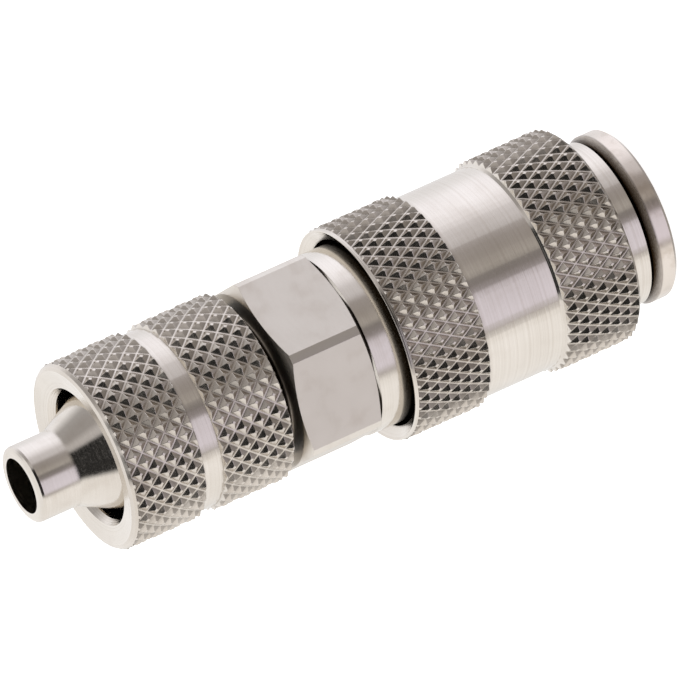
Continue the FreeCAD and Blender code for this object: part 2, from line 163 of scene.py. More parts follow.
def mixed(tree, mask, first, second):
    """Return a mix of two colours."""
    node = add_node(tree, "ShaderNodeMix", {"Factor": mask}, data_type="RGBA")
    for socket, value in zip(node.inputs[MIX_COLOURS], (first, second)):
        if isinstance(value, bpy.types.NodeSocket):
            tree.links.new(value, socket)
        else:
            socket.default_value = (*value, 1)
    return node.outputs[MIX_RESULT]


def stops(node, pairs):
    """Fill a colour ramp with position and colour pairs."""
    ramp = node.color_ramp
    for position, _ in pairs[1:-1]:
        ramp.elements.new(position)
    for element, (position, colour) in zip(ramp.elements, pairs):
        element.position = position
        element.color = (*colour, 1)


def node_group(name, inputs, outputs):
    """Make a shader node group with named number inputs and number outputs."""
    group = bpy.data.node_groups.new(name, "ShaderNodeTree")
    for label, value in inputs.items():
        socket = group.interface.new_socket(label, in_out="INPUT", socket_type="NodeSocketFloat")
        socket.default_value = value
    for label in outputs:
        group.interface.new_socket(label, in_out="OUTPUT", socket_type="NodeSocketFloat")
    print("node group:", name, "gives", list(outputs))
    return group, group.nodes.new("NodeGroupInput").outputs, group.nodes.new("NodeGroupOutput").inputs


# %% [markdown]
# ## The studio
#
# Plated metal shows its surroundings, so the surroundings are half of its look. In the photograph they
# are a white light tent: bright overhead and on both sides, grey around the lens, with narrow dark gaps
# between the panels. Lamps would only show as small spots in the metal, so the world is painted by
# direction instead. One ramp runs around the coupling's axis a little below the horizon, which is what
# tubes reflect, and a second one a little above it, where the dark room behind the camera shows. Overhead
# the tent is white again, and at its foot it is dim.

# %% Tent panels
LOW_PANELS = [
    (-180, (0.90, 0.89, 0.88)),
    (-160, (0.97, 0.96, 0.95)),
    (-140, (1.12, 1.11, 1.11)),
    (-74, (1.24, 1.23, 1.25)),
    (-64, (1.14, 1.12, 1.12)),
    (-56, (0.60, 0.57, 0.57)),
    (-47, (0.97, 0.93, 1.06)),
    (-15, (0.88, 0.84, 0.95)),
    (-7, (0.35, 0.32, 0.33)),
    (3, (0.28, 0.26, 0.26)),
    (9, (0.54, 0.51, 0.49)),
    (24, (0.42, 0.39, 0.38)),
    (38, (0.44, 0.41, 0.41)),
    (46, (0.76, 0.74, 0.78)),
    (60, (0.83, 0.81, 0.86)),
    (72, (1.14, 1.13, 1.22)),
    (88, (1.36, 1.37, 1.50)),
    (112, (1.34, 1.35, 1.48)),
    (134, (1.10, 1.11, 1.18)),
    (156, (0.98, 0.97, 1.00)),
    (180, (0.90, 0.89, 0.88)),
]
HIGH_PANELS = [
    (-180, (1.16, 1.16, 1.18)),
    (-60, (1.12, 1.10, 1.10)),
    (-48, (0.03, 0.03, 0.03)),
    (26, (0.02, 0.02, 0.02)),
    (35, (0.62, 0.60, 0.61)),
    (46, (0.66, 0.64, 0.65)),
    (60, (0.44, 0.42, 0.42)),
    (100, (0.50, 0.49, 0.50)),
    (128, (1.15, 1.15, 1.20)),
    (180, (1.16, 1.16, 1.18)),
]
TENT_ROOF = (1.15, 1.15, 1.18)
TENT_FOOT = (0.28, 0.26, 0.25)
print("tent panels:", len(LOW_PANELS), "and", len(HIGH_PANELS))

# %% Light tent
HORIZON_FADE = (-0.22, 0.12)
ROOF_FADE = (0.56, 0.84)
FOOT_FADE = (-0.50, -0.90)
FOOT_STRENGTH = 0.8


def panel_ring(tree, angle, panels):
    """Return the tent's colour around the axis."""
    ring = add_node(tree, "ShaderNodeValToRGB", {"Fac": angle})
    stops(ring, [(0.5 + degrees / 360, colour) for degrees, colour in panels])
    return ring.outputs["Color"]


world = bpy.data.worlds.new("light_tent")
bpy.context.scene.world = world
world.use_nodes = True
tree = world.node_tree
tree.nodes.clear()
direction = add_node(tree, "ShaderNodeTexCoord").outputs["Generated"]
from_lens = add_node(tree, "ShaderNodeVectorRotate",
                     {"Vector": direction, "Axis": (0, 0, 1), "Angle": -CAMERA_AZIMUTH},
                     rotation_type="AXIS_ANGLE").outputs["Vector"]
angle = add_node(tree, "ShaderNodeTexGradient", {"Vector": from_lens},
                 gradient_type="RADIAL").outputs["Fac"]
rise = add_node(tree, "ShaderNodeSeparateXYZ", {"Vector": from_lens}).outputs["Z"]
tent = mixed(tree, fade(tree, rise, *HORIZON_FADE),
             panel_ring(tree, angle, LOW_PANELS), panel_ring(tree, angle, HIGH_PANELS))
tent = mixed(tree, fade(tree, rise, *ROOF_FADE), tent, TENT_ROOF)
tent = mixed(tree, times(tree, fade(tree, rise, *FOOT_FADE), FOOT_STRENGTH), tent, TENT_FOOT)
background = add_node(tree, "ShaderNodeBackground", {"Color": tent, "Strength": 1.0})
add_node(tree, "ShaderNodeOutputWorld", {"Surface": background.outputs[0]})
print("world nodes:", len(tree.nodes))

# %% [markdown]
# ## The floor
#
# The coupling stands on a plain white table top. A studio would have a curved sweep, but a flat plane is
# enough here, because the picture shows no horizon. It glows a little, as a back-lit product table does,
# which keeps its shadows faint. It is left out of the reflections, so that the tent shows there, and the
# Standard view transform keeps its white as it is.

# %% Floor
FLOOR_HALF = 0.6
FLOOR_DROP = 0.01 * MM
TABLE_WHITE, TABLE_ROUGHNESS = (0.80, 0.80, 0.80, 1), 0.9
TABLE_GLOW, GLOW_STRENGTH = (1, 1, 1, 1), 0.80

floor_mesh = bpy.data.meshes.new("floor")
floor_mesh.from_pydata([(x * FLOOR_HALF, y * FLOOR_HALF, -FLOOR_DROP)
                        for x, y in ((-1, -1), (1, -1), (1, 1), (-1, 1))], [], [(0, 1, 2, 3)])
floor = bpy.data.objects.new("floor", floor_mesh)
bpy.context.scene.collection.objects.link(floor)
floor.visible_glossy = False

table_top = bpy.data.materials.new("table_top")
table_top.use_nodes = True
paint = table_top.node_tree.nodes["Principled BSDF"].inputs
paint["Base Color"].default_value = TABLE_WHITE
paint["Roughness"].default_value = TABLE_ROUGHNESS
paint["Emission Color"].default_value = TABLE_GLOW
paint["Emission Strength"].default_value = GLOW_STRENGTH
floor_mesh.materials.append(table_top)
bpy.context.scene.view_settings.view_transform = "Standard"
print("floor side in m:", 2 * FLOOR_HALF)

# %% [markdown]
# ## Turning lines
#
# A lathe tool leaves a fine spiral on every turned face. A picture of scratches would stretch on cones
# and end faces, so the lines are noise along one number, height plus radius, which gives rings on tubes
# and on faces alike. A slow drift keeps the rings from looking ruled. Several finishes share the lines,
# so they are a node group: a height for the bump, a change of roughness and a painted shade for the colour,
# whose darker rings stand in for the light that the slopes of the grooves turn away.

# %% Turning lines
DRIFT_SCALE = 260.0
ROUGH_LINES, ROUGHNESS_CHANGE = (0.3, 0.7), (-0.04, 0.05)
SHADED_LINES = (0.42, 0.66)

lines_group, given, result = node_group("turning_lines", {"Lines per mm": 9.0, "Waviness": 0.02},
                                        ("Height", "Roughness", "Painted shade"))
spot = add_node(lines_group, "ShaderNodeTexCoord").outputs["Object"]
split = add_node(lines_group, "ShaderNodeSeparateXYZ", {"Vector": spot}).outputs
flat_spot = add_node(lines_group, "ShaderNodeCombineXYZ", {"X": split["X"], "Y": split["Y"]}).outputs[0]
radius = add_node(lines_group, "ShaderNodeVectorMath", {0: flat_spot}, operation="LENGTH").outputs["Value"]
path = math_node(lines_group, "DIVIDE", plus(lines_group, radius, split["Z"]), MM)
drift = add_node(lines_group, "ShaderNodeTexNoise",
                 {"Vector": spot, "Scale": DRIFT_SCALE, "Detail": 1.0}).outputs["Fac"]
path = plus(lines_group, path, times(lines_group, drift, given["Waviness"]))
fine = add_node(lines_group, "ShaderNodeTexNoise",
                {"W": times(lines_group, path, given["Lines per mm"]), "Scale": 1.0, "Detail": 3.0,
                 "Roughness": 0.65}, noise_dimensions="1D").outputs["Fac"]
lines_group.links.new(fine, result["Height"])
lines_group.links.new(remap(lines_group, fine, *ROUGH_LINES, *ROUGHNESS_CHANGE), result["Roughness"])
# The shade output is painted shade: darker rings in the colour stand in for light turned away by the groove
# slopes.
lines_group.links.new(remap(lines_group, fine, *SHADED_LINES), result["Painted shade"])

# %% [markdown]
# ## Plating tone
#
# Nickel over brass is never one even colour: it has broad clouds, fine specks and, with use, stains. All
# three are noise of different size, cut off at a different level. They could be painted by hand, but noise
# in the object's own space needs no unwrapping and never shows a seam.

# %% Plating tone
TONES = {"Cloud": (2.0, 0.35, 0.65), "Speck": (1.0, 0.52, 0.72), "Stain": (4.0, 0.52, 0.75)}

tone_group, given, result = node_group(
    "plating_tone", {"Cloud size mm": 2.2, "Speck size mm": 0.12, "Stain size mm": 1.1}, TONES)
spot = add_node(tone_group, "ShaderNodeTexCoord").outputs["Object"]
for label, (detail, low, high) in TONES.items():
    scale = math_node(tone_group, "DIVIDE", 1 / MM, given[f"{label} size mm"])
    noise = add_node(tone_group, "ShaderNodeTexNoise", {"Vector": spot, "Scale": scale, "Detail": detail})
    tone_group.links.new(remap(tone_group, noise.outputs["Fac"], low, high), result[label])

# %% [markdown]
# ## Pit grime and painted shade
#
# Oil and dust collect where a finger or a cloth can't reach: in grooves, pits and gaps. Shade falls in the
# same places, and the mask paints that shade into the colour as well, darkest in the wide gaps beside the
# flange and the hexagon. Painted grime would have to be painted again after each change of a shape. Ambient
# occlusion measures how much of its surroundings a spot sees within a short reach, so with it the grime and
# the painted shade find their places by themselves.

# %% Pit grime and painted shade
grime_and_shade_group, given, result = node_group("pit_grime_and_shade", {"Reach mm": 0.35, "Start": 0.30, "End": 0.85},
                                        ("Mask",))
reach = times(grime_and_shade_group, given["Reach mm"], MM)
openness = add_node(grime_and_shade_group, "ShaderNodeAmbientOcclusion", {"Distance": reach}, samples=8).outputs["AO"]
# The mask is both grime and painted shade: it darkens hollows where oil sits and where light falls off.
grime_and_shade_mask = remap(grime_and_shade_group, openness, given["Start"], given["End"], to_low=1.0, to_high=0.0)
grime_and_shade_group.links.new(grime_and_shade_mask, result["Mask"])

# %% [markdown]
# ## How a metal is put together
#
# Every metal here is one shader with the shared effects on it. Clouds, stains and the painted shade of the
# turning lines shift its colour, the grime mask darkens hollows with grime and with painted shade, specks and
# lines change its roughness, and the lines also make a shallow bump. A bevel node rounds the edges in the
# shading, as plating does. Some effects belong to a part of a piece only, such as the hexagon free of grime
# and painted shade between two gaps darkened by it, so they can be held back by bands of height. That
# is simpler than cutting the mesh into materials, and the ends of a band are soft.

# %% Bands and edges
BAND_SOFTNESS = 0.15


def group_node(tree, group, values):
    """Place a shared effect in a material."""
    return add_node(tree, "ShaderNodeGroup", values, node_tree=group).outputs


def height_band(tree, low, high):
    """Return a mask that is one between two heights in millimetres, with soft ends."""
    spot = add_node(tree, "ShaderNodeTexCoord").outputs["Object"]
    height = add_node(tree, "ShaderNodeSeparateXYZ", {"Vector": spot}).outputs["Z"]
    return times(tree, fade(tree, height, (low - BAND_SOFTNESS) * MM, low * MM),
                 fade(tree, height, (high + BAND_SOFTNESS) * MM, high * MM))


def outside(tree, mask):
    """Return the opposite of a mask."""
    return math_node(tree, "SUBTRACT", 1.0, mask)


def rounded_edges(tree, rounding, blended):
    """Return a normal that rounds edges, with a larger radius in a band of heights if there is one."""
    radius = rounding * MM
    if blended:
        low, high, extra = blended
        radius = plus(tree, radius, times(tree, height_band(tree, low, high), extra * MM))
    return add_node(tree, "ShaderNodeBevel", {"Radius": radius}, samples=6).outputs[0]


# %% Metal
# This brown is the colour of real stains and also of the painted shade of the turning lines.
STAIN_AND_LINE_SHADE = (0.47, 0.40, 0.33)
SPECK_ROUGHNESS = 0.06
DIRT_ROUGHNESS = 0.25


def metal(name, bright, dull, grime_and_shade_colour, roughness, lines_per_mm, line_height, reach,
          painted_line_shade=0.1, darkest_below=0.30, unmasked_above=0.85, stained=0.10, rounding=0.03,
          unmasked_bands=(), dull_band=None, band_roughness=0.0, blended=None):
    """Make a metal finish from the shared effects, with its lengths in millimetres."""
    material = bpy.data.materials.new(name)
    material.use_nodes = True
    tree = material.node_tree
    shader = tree.nodes["Principled BSDF"].inputs
    shader["Metallic"].default_value = 1.0
    tone = group_node(tree, tone_group, {})
    lines = group_node(tree, lines_group, {"Lines per mm": lines_per_mm})
    height = lines["Height"]
    # The lines' painted shade: darker rings stand in for light that the groove slopes turn away.
    shade = times(tree, lines["Painted shade"], painted_line_shade)
    rough = plus(tree, lines["Roughness"], roughness)
    if dull_band:
        band = height_band(tree, *dull_band)
        height = times(tree, height, outside(tree, band))
        shade = times(tree, shade, outside(tree, band))
        rough = plus(tree, rough, times(tree, band, band_roughness))
    # The grime mask paints grime and the shade of grooves, pits and gaps; bands of height hold it back.
    dirt_and_shade = group_node(tree, grime_and_shade_group,
                      {"Reach mm": reach, "Start": darkest_below, "End": unmasked_above})["Mask"]
    for unmasked_band in unmasked_bands:
        dirt_and_shade = times(tree, dirt_and_shade, outside(tree, height_band(tree, *unmasked_band)))
    colour = mixed(tree, tone["Cloud"], bright, dull)
    colour = mixed(tree, times(tree, tone["Stain"], stained), colour, STAIN_AND_LINE_SHADE)
    colour = mixed(tree, shade, colour, STAIN_AND_LINE_SHADE)
    tree.links.new(mixed(tree, dirt_and_shade, colour, grime_and_shade_colour), shader["Base Color"])
    rough = plus(tree, rough, times(tree, tone["Speck"], SPECK_ROUGHNESS))
    rough = plus(tree, rough, times(tree, dirt_and_shade, DIRT_ROUGHNESS))
    tree.links.new(rough, shader["Roughness"])
    bump = add_node(tree, "ShaderNodeBump", {"Height": height, "Distance": line_height * MM,
                                             "Normal": rounded_edges(tree, rounding, blended)})
    tree.links.new(bump.outputs[0], shader["Normal"])
    print("finish:", name)
    return material


# %% [markdown]
# ## Nickel plating
#
# All four outer pieces are turned brass with nickel on it, a warm silver, but each has had its own wear.
# The plain turned faces are satin with clear lines, whose darker rings are painted shade. The knurls are
# rubbed by hands, with oil and painted shade in their grooves. The mouth flange is tanned and stained, with
# a dark gap of painted shade behind it. The hose adapter is bright, with black gaps of painted shade beside
# its hexagon, which itself keeps the clean, dull skin of the drawn bar, and its spigot runs into its cone
# without an edge. One finish for all would look like one casting, so each gets its own values.

# %% Plating of the knurled pieces
NICKEL, DULL_NICKEL = (0.69, 0.645, 0.58), (0.65, 0.605, 0.54)
RUBBED_NICKEL, WORN_NICKEL = (0.63, 0.58, 0.515), (0.58, 0.53, 0.465)

# The satin finish paints shade in the darker rings of its lines, and its grime mask paints shade into grooves
# and gaps along with grime.
satin_plating = metal("satin_plating", NICKEL, DULL_NICKEL, grime_and_shade_colour=(0.16, 0.12, 0.08), roughness=0.11,
                      lines_per_mm=7.0, line_height=0.0080, reach=0.30, painted_line_shade=0.20)
# The knurl's grime colour paints oil and the shade in the pits.
knurl_plating = metal("knurl_plating", RUBBED_NICKEL, WORN_NICKEL, grime_and_shade_colour=(0.11, 0.09, 0.065), roughness=0.17,
                      lines_per_mm=3.0, line_height=0.0005, reach=0.26, unmasked_above=0.95, rounding=0.05)

# %% Plating of the body and the hose adapter
TANNED_NICKEL, DULL_TAN = (0.69, 0.628, 0.560), (0.65, 0.582, 0.512)
FLANGE = (-1.0, 0.80)
UNMASKED_COLLAR, UNMASKED_HEXAGON, UNMASKED_SPIGOT = (15.61, 16.55), (16.90, 20.96), (29.75, 40.0)
BAR_SKIN, BAR_ROUGHNESS = (16.80, 20.96), 0.20
SPIGOT_FOOT, FOOT_ROUNDING = (31.2, 32.2), 0.30

# The flange's near-black grime colour, with a long reach, paints the shade in the gap behind the flange.
flange_plating = metal("flange_plating", TANNED_NICKEL, DULL_TAN, grime_and_shade_colour=(0.036, 0.021, 0.009), roughness=0.13,
                       lines_per_mm=5.0, line_height=0.0030, reach=1.8, darkest_below=0.75, unmasked_above=0.97,
                       stained=0.70, unmasked_bands=(FLANGE,), dull_band=FLANGE)
# The adapter's near-black grime colour, with a long reach, paints the shade in the gaps beside the hexagon;
# collar, hexagon and spigot are kept free of it.
adapter_plating = metal("adapter_plating", NICKEL, DULL_NICKEL, grime_and_shade_colour=(0.012, 0.008, 0.004), roughness=0.12,
                        lines_per_mm=9.0, line_height=0.0015, reach=1.25, darkest_below=0.55, unmasked_above=0.82,
                        stained=0.25, unmasked_bands=(UNMASKED_COLLAR, UNMASKED_HEXAGON, UNMASKED_SPIGOT),
                        dull_band=BAR_SKIN, band_roughness=BAR_ROUGHNESS,
                        blended=(*SPIGOT_FOOT, FOOT_ROUNDING))

# %% [markdown]
# ## Metals inside
#
# The pieces inside are seen only through the mouth or when the coupling is taken apart. The poppet is bare
# turned brass, the balls are polished steel and the springs are drawn wire. They are the same kind of metal
# with other colours, so the same function makes them.

# %% Brass, ball steel and spring wire
# Their grime masks, too, paint shade into hollows along with grime.
turned_brass = metal("turned_brass", (0.80, 0.62, 0.33), (0.70, 0.52, 0.26), grime_and_shade_colour=(0.20, 0.13, 0.06),
                     roughness=0.24, lines_per_mm=8.0, line_height=0.0020, reach=0.35)
ball_steel = metal("ball_steel", (0.62, 0.62, 0.63), (0.57, 0.57, 0.58), grime_and_shade_colour=(0.16, 0.14, 0.12),
                   roughness=0.08, lines_per_mm=2.0, line_height=0.0002, reach=0.25)
spring_wire = metal("spring_wire", (0.52, 0.52, 0.53), (0.46, 0.46, 0.47), grime_and_shade_colour=(0.12, 0.10, 0.08),
                    roughness=0.28, lines_per_mm=14.0, line_height=0.0010, reach=0.25)

# %% [markdown]
# ## Seal rubber
#
# The three seals are moulded black rubber. Rubber is no metal and has no lines from a lathe, so it gets a
# shader of its own, with the clouds and specks of the shared tone as a faint mottle and a fine grain.

# %% Seal rubber
BLACK_RUBBER, GREY_RUBBER = (0.022, 0.022, 0.024), (0.035, 0.034, 0.033)
RUBBER_ROUGHNESS, RUBBER_SPECKS = 0.55, 0.2
GRAIN_HEIGHT = 0.004 * MM

seal_rubber = bpy.data.materials.new("seal_rubber")
seal_rubber.use_nodes = True
tree = seal_rubber.node_tree
shader = tree.nodes["Principled BSDF"].inputs
tone = group_node(tree, tone_group, {"Cloud size mm": 1.2, "Speck size mm": 0.06})
tree.links.new(mixed(tree, tone["Cloud"], BLACK_RUBBER, GREY_RUBBER), shader["Base Color"])
tree.links.new(plus(tree, RUBBER_ROUGHNESS, times(tree, tone["Speck"], RUBBER_SPECKS)), shader["Roughness"])
grain = add_node(tree, "ShaderNodeBump", {"Height": tone["Speck"], "Distance": GRAIN_HEIGHT})
tree.links.new(grain.outputs[0], shader["Normal"])
print("finish:", seal_rubber.name)

# %% [markdown]
# ## Turned pieces with knurls
#
# A turned piece is a stack of rings. A knurl is pressed by two toothed wheels, whose crossing grooves
# leave staggered pyramids with small flat tips. Displacing a fine grid would need a million faces for
# crisp edges, so each pyramid gets its own few faces instead: four flanks and a tip, with narrow strips
# for the groove floors between the pyramids and a small patch where two grooves cross. The rings beside
# a knurl have a point at every crossing, foot and tip, so that everything joins without gaps.

# %% From a mesh to a piece


def mesh_piece(name, mesh, crisp_angle, *finishes):
    """Return a finished mesh as an object that is smooth but for the edges sharper than an angle."""
    bmesh.ops.recalc_face_normals(mesh, faces=mesh.faces)
    data = bpy.data.meshes.new(name)
    mesh.to_mesh(data)
    mesh.free()
    data.shade_smooth()
    data.set_sharp_from_angle(angle=crisp_angle)
    for finish in finishes:
        data.materials.append(finish)
    piece = bpy.data.objects.new(name, data)
    bpy.context.scene.collection.objects.link(piece)
    print(name, "faces:", len(data.polygons))
    return piece


# %% Rings and knurls
FOOT_SHARE = 0.88
TIP_SHARE = 0.20
TIP_WEAR = 0.12
TOOTH_OFFSETS = (-1, -FOOT_SHARE, -TIP_SHARE, 0, TIP_SHARE, FOOT_SHARE)
POINTS_PER_STEP = len(TOOTH_OFFSETS) // 2
SIDES = ((1, 0), (0, 1), (-1, 0), (0, -1))
CRISP_ANGLE = math.radians(15)


class TurnedPiece:
    """A stack of rings around Z, in millimetres, that grows from the first ring to the last."""

    def __init__(self, teeth, seed):
        self.mesh = bmesh.new()
        self.teeth = teeth
        self.odd = 0
        self.first = None
        self.last = None
        self.chance = random.Random(seed)

    def steps(self):
        """Return the places of a ring's points, counted in half teeth."""
        return [2 * tooth + self.odd + offset for tooth in range(self.teeth) for offset in TOOTH_OFFSETS]

    def point(self, step, radius, height):
        """Add a point."""
        turn = step * math.pi / self.teeth
        return self.mesh.verts.new((radius * math.cos(turn) * MM, radius * math.sin(turn) * MM, height * MM))

    def join(self, ring, shift=0):
        """Join a ring of points to the last one."""
        count = len(ring)
        if self.last:
            for index in range(count):
                beside = (index + 1) % count
                self.mesh.faces.new((self.last[index], self.last[beside],
                                     ring[(beside + shift) % count], ring[(index + shift) % count]))
        self.first = self.first or ring
        self.last = ring

    def ring(self, radius, height):
        """Add a ring."""
        self.join([self.point(step, radius, height) for step in self.steps()])

    def realign(self, radius, height):
        """Add a ring whose points lie in line with the first ring's again."""
        shift = POINTS_PER_STEP * self.odd
        self.odd = 0
        self.join([self.point(step, radius, height) for step in self.steps()], shift)

    def knurl(self, crest, depth, low, high, rows, leans=(0, 0)):
        """Add a band of pyramids whose end walls may lean back toward the band."""
        around = 2 * self.teeth
        groove = crest - depth
        known = {}

        def at(step, row, radius=groove):
            key = (round(step % around, 3), round(row, 3))
            if key not in known:
                lean = {0: leans[0], rows: -leans[1]}.get(row, 0)
                height = low + row * (high - low) / rows + lean * (radius - groove)
                known[key] = self.point(step, radius, height)
            return known[key]

        def patch(*corners):
            self.mesh.faces.new(corners).material_index = 1

        for row in range(rows + 1):
            for step in range((row + self.odd) % 2, around, 2):
                tip = crest - depth * self.chance.uniform(0.0, TIP_WEAR)
                self.pyramid(at, patch, step, row, rows, tip)
                self.grooves(at, patch, step, row, rows)
        self.join([at(step, 0) for step in self.steps()])
        self.odd = (self.odd + rows) % 2
        self.last = [at(step, rows) for step in self.steps()]

    def pyramid(self, at, patch, step, row, rows, tip):
        """Add one pyramid, or the half of it that lies on the band."""
        tips, feet = [], []
        for across, up in SIDES:
            on_band = 0 <= row + up <= rows
            share = TIP_SHARE if on_band else 0
            tips.append(at(step + share * across, row + share * up, tip))
            feet.append(at(step + FOOT_SHARE * across, row + FOOT_SHARE * up) if on_band else None)
        patch(*tips)
        for side in range(len(SIDES)):
            beside = (side + 1) % len(SIDES)
            if feet[side] and feet[beside]:
                patch(feet[side], feet[beside], tips[beside], tips[side])

    def grooves(self, at, patch, step, row, rows):
        """Add the two groove floors above a pyramid and the crossing beside it."""
        if row < rows:
            for side in (-1, 1):
                patch(at(step + side * FOOT_SHARE, row), at(step + side, row + 1 - FOOT_SHARE),
                      at(step + side - side * FOOT_SHARE, row + 1), at(step, row + FOOT_SHARE))
        crossing = step + 1
        patch(at(crossing - 1 + FOOT_SHARE, row),
              at(crossing, row - 1 + FOOT_SHARE if row > 0 else row),
              at(crossing + 1 - FOOT_SHARE, row),
              at(crossing, row + 1 - FOOT_SHARE if row < rows else row))

    def finish(self, name):
        """Close the stack and return it as a piece with plain and knurled plating."""
        self.join(self.first, POINTS_PER_STEP * self.odd)
        return mesh_piece(name, self.mesh, CRISP_ANGLE, satin_plating, knurl_plating)


# %% [markdown]
# ## Release sleeve
#
# The sleeve is the piece that one pulls back: a plain nose, two knurled bands with a plain band between
# them, and inside the relief and the cone that let the lock balls out and press them in. Its rear end is
# a narrow flat rim around a countersunk bore, so that a dark gap shows right beside the knurl. A screw
# modifier could spin its outline, but the edges of a knurled band need points of their own, so the rings
# are laid one by one, from the front of the bore over the outside and back through the inside. Height and
# crest come from the solid that the sleeve replaces.

# %% Sizes of the sleeve
sleeve_low, sleeve_high = (corner.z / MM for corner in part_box("release_sleeve"))
SLEEVE_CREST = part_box("release_sleeve")[1].x / MM
SLEEVE_BORE, SLEEVE_NOSE, PLAIN_BAND = 3.45, 4.20, 5.22
FRONT_KNURL, REAR_KNURL = (2.80, 6.80), (11.15, 15.15)
SLEEVE_KNURL_DEPTH, SLEEVE_ROWS = 0.20, 7
SHOULDER_ROOM, SHOULDER_DEPTH = 0.10, 0.24
KNURL_ROOM, BAND_ROOM = 0.02, 0.03
BAND_SLOPE_END, BAND_TURN = 0.17, 0.20
RIM_START = 0.06
REAR_RIM_TAPER, REAR_RIM_OUTER, REAR_RIM_INNER, REAR_RIM_EDGE = 0.09, 0.10, 0.15, 0.01
COUNTERSINK = 0.35
REAR_BORE, REAR_BORE_FRONT, SPRING_ROOM = 4.80, 11.05, 4.35
LAND_REAR, CONE_REAR, CONE_FRONT, RELIEF_FRONT, RELIEF = 6.976, 6.176, 3.984, 3.30, 4.25
print("sleeve crest in mm:", round(SLEEVE_CREST, 2), "length in mm:", round(sleeve_high - sleeve_low, 2))

# %% Release sleeve
sleeve = TurnedPiece(teeth=48, seed=4)
sleeve.ring(SLEEVE_BORE, sleeve_low)
sleeve.ring(SLEEVE_NOSE, sleeve_low)
sleeve.ring(SLEEVE_NOSE, FRONT_KNURL[0] - SHOULDER_ROOM)
sleeve.ring(SLEEVE_CREST - SHOULDER_DEPTH, FRONT_KNURL[0] - SHOULDER_ROOM)
sleeve.knurl(SLEEVE_CREST, SLEEVE_KNURL_DEPTH, *FRONT_KNURL, SLEEVE_ROWS, leans=(0.5, 0.3))
sleeve.ring(SLEEVE_CREST - SLEEVE_KNURL_DEPTH, FRONT_KNURL[1] + KNURL_ROOM)
sleeve.ring(PLAIN_BAND, FRONT_KNURL[1] + BAND_SLOPE_END)
sleeve.ring(PLAIN_BAND, FRONT_KNURL[1] + BAND_TURN)
sleeve.realign(PLAIN_BAND, REAR_KNURL[0] - BAND_ROOM)
sleeve.knurl(SLEEVE_CREST, SLEEVE_KNURL_DEPTH, *REAR_KNURL, SLEEVE_ROWS, leans=(0.3, 0.2))
sleeve.ring(SLEEVE_CREST - RIM_START, REAR_KNURL[1] + KNURL_ROOM)
sleeve.ring(SLEEVE_CREST - REAR_RIM_TAPER, sleeve_high - REAR_RIM_EDGE)
sleeve.ring(SLEEVE_CREST - REAR_RIM_OUTER, sleeve_high)
sleeve.ring(SLEEVE_CREST - REAR_RIM_INNER, sleeve_high)
sleeve.ring(REAR_BORE, sleeve_high - COUNTERSINK)
sleeve.ring(REAR_BORE, REAR_BORE_FRONT)
sleeve.ring(SPRING_ROOM, REAR_BORE_FRONT)
sleeve.ring(SPRING_ROOM, LAND_REAR)
sleeve.ring(SLEEVE_BORE, LAND_REAR)
sleeve.ring(SLEEVE_BORE, CONE_REAR)
sleeve.ring(RELIEF, CONE_FRONT)
sleeve.ring(RELIEF, RELIEF_FRONT)
sleeve.realign(SLEEVE_BORE, RELIEF_FRONT)
release_sleeve = sleeve.finish("release_sleeve_knurled")
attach(release_sleeve, "sleeve")
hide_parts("release_sleeve")

# %% [markdown]
# ## Union nut
#
# The nut clamps the hose on its spigot. Its pyramids are squarer than the sleeve's, and a plain groove
# parts its two bands. Its rear rim is rounded, here by a bevel in two steps, and its face slopes a little
# inward to the mouth. A bevel modifier would round the knurl as well, so the rim is simply drawn by rings.

# %% Sizes of the nut
nut_low, nut_high = (corner.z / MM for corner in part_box("union_nut"))
NUT_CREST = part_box("union_nut")[1].y / MM
NUT_BORE, NUT_MOUTH, NUT_GROOVE = 3.93, 3.32, 4.58
NUT_BAND, NUT_GROOVE_LENGTH = 3.75, 1.05
NUT_KNURL_DEPTH, NUT_ROWS = 0.18, 8
NUT_FRONT_RIM, NUT_FIRST_ROW, NUT_FRONT_DEPTH = 0.10, 0.06, 0.20
GROOVE_WALL_END = 0.04
NUT_RIM_TURN_DEPTH, NUT_RIM_TURN, NUT_RIM_DEPTH = 0.155, 0.08, 0.31
MOUTH_BEVEL, MOUTH_BEVEL_END, FACE_SLOPE = 0.22, 0.50, 0.17
CLAMP_CONE_REAR, CLAMP_CONE_FRONT = 2.10, 3.30

nut_front_band = (nut_low + NUT_FIRST_ROW, nut_low + NUT_FRONT_RIM + NUT_BAND)
nut_rear_start = nut_front_band[1] + NUT_GROOVE_LENGTH
nut_rear_band = (nut_rear_start, nut_rear_start + NUT_BAND)
print("nut crest in mm:", round(NUT_CREST, 2), "length in mm:", round(nut_high - nut_low, 2))

# %% Union nut
nut = TurnedPiece(teeth=33, seed=9)
nut.ring(NUT_BORE, nut_low)
nut.ring(NUT_CREST - NUT_FRONT_DEPTH, nut_low)
nut.knurl(NUT_CREST, NUT_KNURL_DEPTH, *nut_front_band, NUT_ROWS, leans=(0.2, 0.3))
nut.ring(NUT_CREST - NUT_KNURL_DEPTH, nut_front_band[1] + KNURL_ROOM)
nut.ring(NUT_GROOVE, nut_front_band[1] + GROOVE_WALL_END)
nut.ring(NUT_GROOVE, nut_rear_band[0] - BAND_ROOM)
nut.knurl(NUT_CREST, NUT_KNURL_DEPTH, *nut_rear_band, NUT_ROWS, leans=(0.3, 0.2))
nut.ring(NUT_CREST - RIM_START, nut_rear_band[1] + KNURL_ROOM)
nut.ring(NUT_CREST - NUT_RIM_TURN_DEPTH, nut_high - NUT_RIM_TURN)
nut.ring(NUT_CREST - NUT_RIM_DEPTH, nut_high)
nut.ring(NUT_MOUTH + MOUTH_BEVEL, nut_high - FACE_SLOPE)
nut.ring(NUT_MOUTH, nut_high - MOUTH_BEVEL_END)
nut.ring(NUT_MOUTH, nut_high - CLAMP_CONE_REAR)
nut.ring(NUT_BORE, nut_high - CLAMP_CONE_FRONT)
